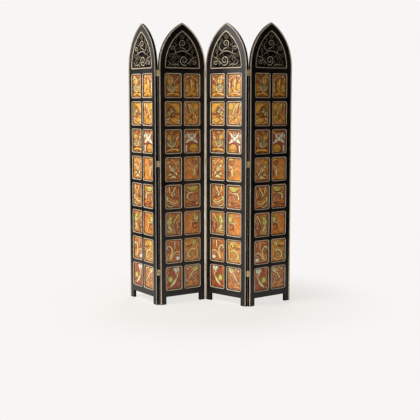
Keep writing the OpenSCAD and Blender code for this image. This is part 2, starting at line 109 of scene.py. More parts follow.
def panelStart(k):
    # the left end of panel k's front face, found from the pin axis beside it
    along, inward = directions(k)
    gap, back = screen["edgeGap"], -screen["panelThickness"] - screen["backGap"]
    pin, across, away = {
        1: ("fold_1", -screen["panelWidth"] - gap, back),
        2: ("fold_1", gap, back),
        3: ("fold_2", gap, screen["frontGap"]),
        4: ("fold_3", gap, back),
    }[k]
    return pins[pin] + along * across + inward * away


def toRoom(k, u, out, z):
    # grids of places along the face, out of the front and up, as an N by 3 array
    along, inward = directions(k)
    flat = panelStart(k) + np.multiply.outer(u, along) - np.multiply.outer(out, inward)
    return np.column_stack([flat.reshape(-1, 2), np.ravel(z)])


def rowMiddle(number):
    # height of the middle of a row of tiles, counted from the floor up
    return tiling["firstOpening"] + tiling["openingHeight"] / 2 + number * tiling["rowPitch"]


# Meshes

def gridFaces(rows, columns, wrapRows=False, wrapColumns=False, flip=False):
    # quads between neighbours of a rows by columns grid of points
    i = np.arange(rows if wrapRows else rows - 1)
    j = np.arange(columns if wrapColumns else columns - 1)
    i, j = (x.ravel() for x in np.meshgrid(i, j, indexing="ij"))
    a, b = i * columns + j, ((i + 1) % rows) * columns + j
    c, d = ((i + 1) % rows) * columns + (j + 1) % columns, i * columns + (j + 1) % columns
    return [tuple(f) for f in np.column_stack([d, c, b, a] if flip else [a, b, c, d])]


def closedGrid(rows, columns):
    # a grid that faces the front, closed at the back by one face round its rim
    number = np.arange(rows * columns).reshape(rows, columns)
    around = np.concatenate([number[:-1, 0], number[-1, :-1], number[:0:-1, -1], number[0, :0:-1]])
    return gridFaces(rows, columns, flip=True) + [tuple(around[::-1])]


def sweepFaces(lines, stations, closed):
    # faces of section lines carried past stations, with both ends capped where it is open
    faces = gridFaces(lines, stations, wrapRows=True, wrapColumns=closed)
    if not closed:
        first = np.arange(lines) * stations
        faces += [tuple(first), tuple((first + stations - 1)[::-1])]
    return faces


def sweepPoints(k, x, y, height, middleU, middleZ):
    # x and y hold the path of each section line on the face, and height how far out it lies
    out = np.repeat(height[:, None], x.shape[1], 1)
    return toRoom(k, x + middleU, out, y + middleZ)


def joinParts(parts):
    # points and faces of several parts as one, with the face numbers moved on
    starts = np.cumsum([0] + [len(points) for points, _ in parts[:-1]])
    points = np.concatenate([points for points, _ in parts])
    return points, [tuple(np.array(f) + start) for (_, fs), start in zip(parts, starts) for f in fs]


def addObject(name, data):
    thing = bpy.data.objects.new(name, data)
    bpy.context.scene.collection.objects.link(thing)
    return thing


def dress(mesh, materials, body, node, sharpFrom):
    # a finished mesh becomes a piece that stands in for a node
    for material in materials:
        mesh.materials.append(material)
    mesh.shade_smooth()
    mesh.set_sharp_from_angle(angle=math.radians(sharpFrom))
    piece = addObject(mesh.name, mesh)
    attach(piece, body)
    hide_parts(node)
    return piece


def makePiece(name, k, points, faces, materials, slot, node, sharpFrom, colours=None):
    # a piece of panel k, with a colour at each point where colours are given
    mesh = bpy.data.meshes.new(name + str(k))
    mesh.from_pydata(points.tolist(), [], faces)
    if colours is not None:
        layer = mesh.color_attributes.new("paint", "FLOAT_COLOR", "POINT")
        layer.data.foreach_set("color", np.column_stack([colours, np.ones(len(colours))]).ravel())
    return dress(mesh, materials, "panel_%d" % k, "%s_%d" % (node, k), sharpFrom)


def vectorsOf(items, name):
    # a vector that each item has, for all of them as an N by 3 array
    values = np.empty(3 * len(items))
    items.foreach_get(name, values)
    return values.reshape(-1, 3)


def paintFaces(piece, which):
    # which of its materials each face takes
    piece.data.polygons.foreach_set("material_index", np.asarray(which).astype(np.int32))


# Finishes

def fillInput(tree, target, value):
    # puts a number, a colour or another node's output into an input
    if isinstance(value, bpy.types.NodeSocket):
        tree.links.new(value, target)
    else:
        target.default_value = (*value, 1) if target.type == "RGBA" else value


def addNode(tree, kind, inputs=None, **settings):
    node = tree.nodes.new(kind)
    for name, value in settings.items():
        setattr(node, name, value)
    for name, value in (inputs or {}).items():
        fillInput(tree, node.inputs[name], value)
    return node


class Finish:
    # a material whose nodes are added one by one
    def __init__(self, name):
        self.material = bpy.data.materials.new(name)
        self.material.use_nodes = True
        self.tree = self.material.node_tree
        self.shader = self.tree.nodes["Principled BSDF"]
        self.place = self.add("ShaderNodeTexCoord").outputs["Object"]

    def add(self, kind, inputs=None, **settings):
        return addNode(self.tree, kind, inputs, **settings)

    def noise(self, scale, detail=4, stretch=(1, 1, 1), rough=0.5):
        spread = self.add("ShaderNodeMapping", {"Vector": self.place, "Scale": stretch})
        return self.add("ShaderNodeTexNoise", {"Vector": spread.outputs["Vector"], "Scale": scale,
                                               "Detail": detail, "Roughness": rough}).outputs["Fac"]

    def span(self, value, fromLow, fromHigh, toLow, toHigh):
        # value carried from one range to another
        ends = {"From Min": fromLow, "From Max": fromHigh, "To Min": toLow, "To Max": toHigh}
        return self.add("ShaderNodeMapRange", {"Value": value, **ends}).outputs["Result"]

    def mix(self, share, first, second, way="MIX"):
        return self.add("ShaderNodeMix", {0: share, 6: first, 7: second},
                        data_type="RGBA", blend_type=way).outputs[2]

    def blend(self, value, low, high, first, second, most=1):
        # goes from the first colour to the second as value goes from low to high
        return self.mix(self.span(value, low, high, 0, most), first, second)

    def bump(self, height, depth, strength):
        node = self.add("ShaderNodeBump", {"Height": height, "Distance": depth, "Strength": strength})
        self.set(Normal=node.outputs["Normal"])

    def set(self, **values):
        # inputs of the shader, written with _ for a space
        for name, value in values.items():
            fillInput(self.tree, self.shader.inputs[name.replace("_", " ")], value)

    def coat(self, colour, clouds, roughness, gloss=0.5, metal=0):
        # the finished material, its roughness following the clouds between two values
        self.set(Base_Color=colour, Roughness=self.span(clouds, 0.3, 0.7, *roughness),
                 Specular_IOR_Level=gloss, Metallic=metal)
        return self.material


lacquer = {
    "black": srgb(13, 12, 12),
    "brown": srgb(26, 21, 17),          # where the lacquer has thinned
    "worn": srgb(70, 58, 46),           # rubbed arrises
    "roughness": (0.26, 0.40),          # lowest and highest
    "gloss": 0.42,
}


def lacquerFinish(name, wornShare=0):
    f = Finish(name)
    clouds = f.noise(9, 5)
    base = f.blend(clouds, 0.35, 0.7, lacquer["black"], lacquer["brown"])
    if wornShare:
        base = f.blend(f.noise(26, 4), 0.42, 0.62, base, lacquer["worn"], wornShare)
    f.bump(f.noise(60, 4, (1, 1, 0.05)), 0.12 * mm, 0.25)
    return f.coat(base, clouds, lacquer["roughness"], lacquer["gloss"])


creamPaint = {
    "pale": srgb(232, 218, 194),
    "aged": srgb(206, 186, 156),
    "dirt": srgb(104, 82, 60),
    "roughness": (0.30, 0.46),
    "gloss": 0.5,
    "metal": 0.3,                       # the paint has a silvery sheen
}


def creamFinish(name, tone=1.0):
    # tone lightens or darkens the whole paint; dirt lies in its hollows and in specks
    pale, aged = (tuple(min(1, tone * c) for c in creamPaint[shade]) for shade in ("pale", "aged"))
    f = Finish(name)
    clouds, specks = f.noise(22, 5), f.noise(260, 3)
    hollow = f.add("ShaderNodeNewGeometry").outputs["Pointiness"]
    base = f.blend(clouds, 0.35, 0.68, pale, aged)
    base = f.blend(hollow, 0.49, 0.44, base, creamPaint["dirt"], 0.7)
    base = f.blend(specks, 0.62, 0.72, base, creamPaint["dirt"], 0.35)
    f.bump(specks, 0.15 * mm, 0.4)
    return f.coat(base, clouds, creamPaint["roughness"], creamPaint["gloss"], creamPaint["metal"])


def paintedRelief(name, low, high, gloss, roughness):
    # the colour of the "paint" layer, broken up by a patina between low and high
    f = Finish(name)
    layer = f.add("ShaderNodeVertexColor", layer_name="paint").outputs["Color"]
    patina = f.noise(120, 5, rough=0.6)
    shade = f.span(patina, 0.3, 0.7, low, high)
    grey = f.add("ShaderNodeCombineColor", {"Red": shade, "Green": shade, "Blue": shade})
    f.bump(f.noise(420, 3), 0.2 * mm, 0.5)
    return f.coat(f.mix(1.0, layer, grey.outputs["Color"], "MULTIPLY"), patina, roughness, gloss)


brassSheet = {
    "bright": srgb(216, 203, 166),
    "aged": srgb(146, 128, 92),
    "roughness": (0.30, 0.48),
}


def brassFinish(name):
    f = Finish(name)
    clouds = f.noise(90, 5, rough=0.6)
    base = f.blend(clouds, 0.4, 0.65, brassSheet["bright"], brassSheet["aged"])
    f.bump(f.noise(300, 3), 0.1 * mm, 0.4)
    return f.coat(base, clouds, brassSheet["roughness"], metal=1)


def mattPaint(name, dark, light, gloss):
    # brushed on, with streaks along the panel
    f = Finish(name)
    streaks = f.noise(60, 4, (1, 1, 0.05))
    base = f.blend(streaks, 0.4, 0.65, dark, light)
    base = f.blend(f.noise(7, 5), 0.5, 0.75, base, dark, 0.5)
    f.bump(streaks, 0.12 * mm, 0.4)
    return f.coat(base, streaks, (0.55, 0.75), gloss)


woodLacquer = lacquerFinish("blackLacquer")
edgeBlack = mattPaint("mattBlackEdge", srgb(9, 8, 8), srgb(17, 14, 12), 0.12)
backPaint = mattPaint("mattBlackBack", srgb(30, 28, 27), srgb(52, 47, 43), 0.25)
rubbedLacquer = lacquerFinish("rubbedLacquer", wornShare=0.6)
cream = creamFinish("agedCreamPaint")
# dark matt paint for the moulding's inner slope: painted shade in the cove
coveShadePaint = mattPaint("paintedShadeInCove", srgb(46, 31, 20), srgb(78, 53, 33), 0.2)
# bead paint darkened for the lit panels 1 and 3 and lightened for the shaded panels 2 and 4: painted light
# and shade
beadPaintByLight = [creamFinish("beadPaintByLight", tone=0.55), creamFinish("beadLightenedForShade", tone=1.1)]
tilePaint = paintedRelief("tilePaint", 0.8, 1.16, 0.75, (0.26, 0.42))
carvingPaint = paintedRelief("blackCarving", 0.75, 1.25, 0.04, (0.36, 0.52))
brass = brassFinish("agedBrass")
print("finishes made")


# Wood frame and hinges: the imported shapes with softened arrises

softening = {
    "wood": 0.15 * mm,                  # width of the rounded arris
    "brass": 0.25 * mm,
    "weld": 0.002 * mm,                 # points closer than this are one
    "flat": 0.5,                        # degrees within which neighbouring faces are one
    "sharp": 35,                        # degrees from which an edge is an arris
    "coat": 0.22 * mm,                  # lacquer that builds up on the hinged edges
    "near": 0.05 * mm,                  # corners this close to an edge are on it
}
frameParts = ("left_stile", "right_stile", "arch_left", "arch_right",
              "bottom_rail", "cross_rails", "mullions")


def thickenEdges(mesh, k):
    # corners on a hinged edge move out by the coat, and back too where they are at the back
    along, inward = directions(k)
    places = vectorsOf(mesh.vertices, "co")
    fromStart = places[:, :2] - panelStart(k)
    u, v = fromStart @ along, fromStart @ inward
    near, coat = softening["near"], softening["coat"]
    left = (np.abs(u) < near) & (k > 1)
    right = (np.abs(u - screen["panelWidth"]) < near) & (k < screen["panelCount"])
    back = (left | right) & (np.abs(v - screen["panelThickness"]) < near)
    shift = coat * (right.astype(float) - left)
    places[:, :2] += np.outer(shift, along) + np.outer(coat * back, inward)
    mesh.vertices.foreach_set("co", places.ravel())


def softenedNode(name, newName, materials, width, k=0):
    # a welded copy of a node, its flat faces made whole, with a narrow bevel on each arris;
    # the bevels take the last of the materials, and a panel number adds the lacquer's coat
    node = frame["nodes"][name]
    work = bmesh.new()
    work.from_mesh(node.data)
    bmesh.ops.remove_doubles(work, verts=work.verts, dist=softening["weld"])
    bmesh.ops.dissolve_limit(work, angle_limit=math.radians(softening["flat"]),
                             verts=work.verts, edges=work.edges)
    mesh = bpy.data.meshes.new(newName)
    work.to_mesh(mesh)
    work.free()
    if k:
        thickenEdges(mesh, k)
    mesh.materials.clear()
    piece = dress(mesh, materials, node["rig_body"], name, softening["sharp"])
    bevel = piece.modifiers.new("arris", "BEVEL")
    bevel.width = width
    bevel.segments = 2
    bevel.limit_method = "ANGLE"
    bevel.angle_limit = math.radians(softening["sharp"])
    bevel.harden_normals = True
    bevel.material = len(materials) - 1
    return piece


def woodFrame(k):
    # lacquer on the faces that look to the front, matt black on the sides and brushed black
    # on the back, told apart by how far each face looks into the panel's thickness
    materials = [woodLacquer, edgeBlack, backPaint, rubbedLacquer]
    for part in frameParts:
        first, *rest = part.split("_")
        newName = first + "".join(word.title() for word in rest) + str(k)
        piece = softenedNode("%s_%d" % (part, k), newName, materials, softening["wood"], k)
        facing = vectorsOf(piece.data.polygons, "normal")[:, :2] @ directions(k)[1]
        paintFaces(piece, np.where(facing > 0.3, 2, np.where(facing > -0.3, 1, 0)))


def hinges():
    # leaves get softened arrises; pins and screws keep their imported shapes
    for name in sorted(frame["nodes"]):
        if name.startswith("hinge_leaves"):
            softenedNode(name, "hingeLeaves" + name[-2:], [brass], softening["brass"])
        elif name.startswith("hinge_"):
            materials = frame["nodes"][name].data.materials
            materials.clear()
            materials.append(brass)


# Mouldings round the tiles and in the head

def headCentre():
    # each side of the pointed head is an arc whose centre lies on the springing line, this
    # far past the panel's middle
    half, rise = screen["panelWidth"] / 2, screen["headRise"]
    return (rise ** 2 - half ** 2) / (2 * half)


def headArc(inset, steps):
    # the right side of the head from the springing line to the point, drawn in by inset
    radius = screen["panelWidth"] / 2 + headCentre() - np.atleast_1d(inset)[:, None]
    angle = np.linspace(0, 1, steps)[None, :] * np.arccos(headCentre() / radius)
    return radius * np.cos(angle) - headCentre(), radius * np.sin(angle)


moulding = {
    "width": 8.5 * mm,
    "lap": 4 * mm,                      # how far its lip lies on the frame
    "innerRadius": 5 * mm,
    "headInnerRadius": 0.8 * mm,
    "headInset": 47 * mm,               # width of the curved members
    "headFoot": 7 * mm,                 # straight part below the springing line
    "cornerSteps": 9,
    "arcSteps": 26,
    "hollow": (7, 14),                  # lines of the section between which it is painted dark, as shade in the cove
    # section: distance in from the outer edge and height above the frame's face
    "section": ((0, -0.2), (0, 0.7), (0.25, 1.25), (0.8, 1.55), (1.8, 1.6), (3.0, 1.5), (4.0, 1.1),
                (4.9, 0.3), (5.7, -0.8), (6.4, -2.0), (7.1, -3.1), (7.6, -3.75), (8.1, -3.85),
                (8.4, -4.0), (8.5, -4.4), (8.5, -5.45), (4.25, -5.45), (4.25, -0.2)),
}


def ringPath(width, height, inset):
    # a rectangle with round corners drawn in by inset: corner centres plus a turning radius
    radius = moulding["width"] + moulding["innerRadius"]
    turn = np.linspace(0, math.pi / 2, moulding["cornerSteps"])
    turns = (turn[None, :] + (np.arange(4) * math.pi / 2)[:, None]).ravel()
    cornerX = np.repeat([1, -1, -1, 1], len(turn)) * (width / 2 - radius)
    cornerY = np.repeat([1, 1, -1, -1], len(turn)) * (height / 2 - radius)
    r = (radius - inset)[:, None]
    return cornerX + r * np.cos(turns), cornerY + r * np.sin(turns)


def headPath(inset):
    # up the right arc, down the left one and round the two lower corners
    straight = moulding["width"] + moulding["headInnerRadius"]
    outer = moulding["headInset"] - moulding["lap"]
    base = -moulding["headFoot"] - moulding["lap"]
    x, y = headArc(outer + inset, moulding["arcSteps"])
    turn = np.linspace(math.pi, 1.5 * math.pi, moulding["cornerSteps"])[None, :]
    r = (straight - inset)[:, None]
    cornerX = -(screen["panelWidth"] / 2 - outer - straight)
    leftX, leftY = cornerX + r * np.cos(turn), base + straight + r * np.sin(turn)
    return (np.hstack([x, -x[:, -2::-1], leftX, -leftX[:, ::-1]]),
            np.hstack([y, y[:, -2::-1], leftY, leftY[:, ::-1]]))


def mouldings(k):
    # the section carried round each tile's opening and round the head's
    inset, height = (np.array(moulding["section"]) * mm).T
    x, y = ringPath(tiling["openingWidth"] + 2 * moulding["lap"],
                    tiling["openingHeight"] + 2 * moulding["lap"], inset)
    faces = sweepFaces(*x.shape, closed=True)
    parts = [(sweepPoints(k, x, y, height, column, rowMiddle(row)), faces)
             for column in tiling["columns"] for row in range(tiling["rows"])]
    x, y = headPath(inset)
    parts.append((sweepPoints(k, x, y, height, screen["panelWidth"] / 2, screen["springLine"]),
                  sweepFaces(*x.shape, closed=True)))
    piece = makePiece("mouldings", k, *joinParts(parts), [cream, coveShadePaint], "cream_paint",
                      "tile_frames", 50)
    # the faces of each part run line by line along its section
    line = np.concatenate([np.arange(len(fs)) // (len(fs) // len(inset)) for _, fs in parts])
    # the inner slope of each ring takes the dark paint, a painted shade
    first, last = moulding["hollow"]
    paintFaces(piece, (line >= first) & (line < last))


# Bead round the outer edge

bead = {
    "notch": 3.1 * mm,                  # cut for the knuckles of the middle fold
    "notchHeight": 40.6 * mm,
    "notchStep": 0.02 * mm,             # height over which the cut begins
    "hingeHeights": (216 * mm, 926.6 * mm, 1508 * mm),
    "notched": (2, 3),                  # the panels with the cut on their right and on their left
    "arcSteps": 40,
    "flat": 13,                         # from this line of the section on it is black
    # section: distance in from the panel's edge and height above the frame's face; it is
    # highest near the edge, falls in a round slope and ends in a flat strip
    "section": ((1.5, -1), (1.5, 0.05), (0.3, 0.05), (0.3, 1.2), (0.45, 1.5), (0.8, 1.72), (1.5, 1.8),
                (2.6, 1.75), (3.8, 1.6), (5.0, 1.3), (6.2, 0.85), (7.2, 0.4), (7.8, 0.1), (8.2, 0.05),
                (11.5, 0.05), (11.5, -1)),
}


def edgeBead(k):
    # up the right stile, over the head and down the left stile; at a notch the lines of the
    # section that lie further out than the cut move in to it
    inset, height = (np.array(bead["section"]) * mm).T
    halfNotch, step = bead["notchHeight"] / 2, bead["notchStep"]
    hingeHeights = np.array(bead["hingeHeights"])
    ends = np.array([-halfNotch, step - halfNotch, halfNotch - step, halfNotch])
    levels = np.add.outer(hingeHeights, ends).ravel()
    levels = np.concatenate([[0], levels, [screen["springLine"] - step]])
    within = np.min(np.abs(levels[:, None] - hingeHeights), 1) < halfNotch - step / 2
    half = screen["panelWidth"] / 2
    cuts = [np.where(within & (k == notched), bead["notch"], 0) for notched in bead["notched"]]
    rightX, leftX = (half - np.maximum(inset[:, None], cut[None, :]) for cut in cuts)
    x, y = headArc(inset, bead["arcSteps"])
    low = np.repeat(levels[None, :] - screen["springLine"], len(inset), 0)
    x = np.hstack([rightX, x, -x[:, -2::-1], -leftX[:, ::-1]])
    y = np.hstack([low, y, y[:, -2::-1], low[:, ::-1]])
    # each panel's bead takes the paint toned for the light on that panel
    piece = makePiece("edgeBead", k, sweepPoints(k, x, y, height, half, screen["springLine"]),
                      sweepFaces(*x.shape, closed=False), [beadPaintByLight[(k + 1) % 2], woodLacquer],
                      "cream_paint", "edge_bead", 50)
    line = np.arange(len(piece.data.polygons)) // (x.shape[1] - 1)
    paintFaces(piece, (line >= bead["flat"]) & (line < len(inset)))


# Relief: shapes carved on a flat board, all as whole arrays

def throughPoints(points, perSpan=10):
    # a smooth line through the given points, by the Catmull-Rom rule
    p = np.array(points, float)
    p = np.vstack([2 * p[0] - p[1], p, 2 * p[-1] - p[-2]])
    t = np.linspace(0, 1, perSpan, endpoint=False)[:, None, None]
    a, b, c, d = p[:-3], p[1:-2], p[2:-1], p[3:]
    curve = 0.5 * (2 * b + (c - a) * t + (2 * a - 5 * b + 4 * c - d) * t ** 2
                   + (3 * b - a - 3 * c + d) * t ** 3)
    return np.vstack([curve.transpose(1, 0, 2).reshape(-1, 2), p[-2:-1]])


def fromLine(x, y, line):
    # distance of each point from a line of points, and how far along the nearest place is
    a, b = line[:-1], line[1:]
    d = b - a
    px, py = x[:, None] - a[:, 0], y[:, None] - a[:, 1]
    t = np.clip((px * d[:, 0] + py * d[:, 1]) / (d ** 2).sum(1), 0, 1)
    gap = np.hypot(px - t * d[:, 0], py - t * d[:, 1])
    near, pick = gap.argmin(1), np.arange(len(x))
    return gap[pick, near], (near + t[pick, near]) / len(a)


def stroke(x, y, line, startWidth, endWidth, taper=0.12):
    # share across (0 at the middle, 1 at the edge) and gap to the edge of a tapering band
    gap, along = fromLine(x, y, line)
    half = (startWidth + (endWidth - startWidth) * along) / 2
    half = half * np.sqrt(np.clip(np.minimum(along, 1 - along) / taper, 0.04, 1))
    return gap / half, gap - half


def leafStroke(x, y, line, width):
    # as a stroke, but swelling from a point to its full width and back; also the way along it
    gap, along = fromLine(x, y, line)
    half = width / 2 * np.clip(np.sin(math.pi * np.clip(along, 0, 1) ** 0.8), 0.03, 1)
    return gap / half, gap - half, along


def oval(x, y, centre, across, up, turn=0, petals=0):
    # share of the way out from the centre of an oval whose rim may wave in petals
    c, s = math.cos(math.radians(turn)), math.sin(math.radians(turn))
    dx, dy = x - centre[0], y - centre[1]
    ex, ey = (dx * c + dy * s) / across, (dy * c - dx * s) / up
    out, angle = np.hypot(ex, ey), np.arctan2(ey, ex)
    rim = 1 + (0.16 * np.cos(petals * angle) if petals else 0)
    return out / rim, (out / rim - 1) * min(across, up), angle


# Painted relief tiles

# Colours of the paint
hue = {
    "cream": srgb(234, 215, 148), "white": srgb(240, 229, 202), "pink": srgb(230, 174, 126),
    "green": srgb(212, 206, 136), "lime": srgb(218, 210, 96), "sage": srgb(166, 152, 92),
    "gold": srgb(228, 168, 66), "amber": srgb(210, 142, 66), "orange": srgb(216, 128, 42),
    "rust": srgb(158, 80, 36), "red": srgb(172, 74, 36), "brown": srgb(92, 42, 18),
    "rose": srgb(186, 112, 72), "groove": srgb(76, 31, 14), "straw": srgb(232, 200, 122),
    "putty": srgb(206, 192, 138),
}

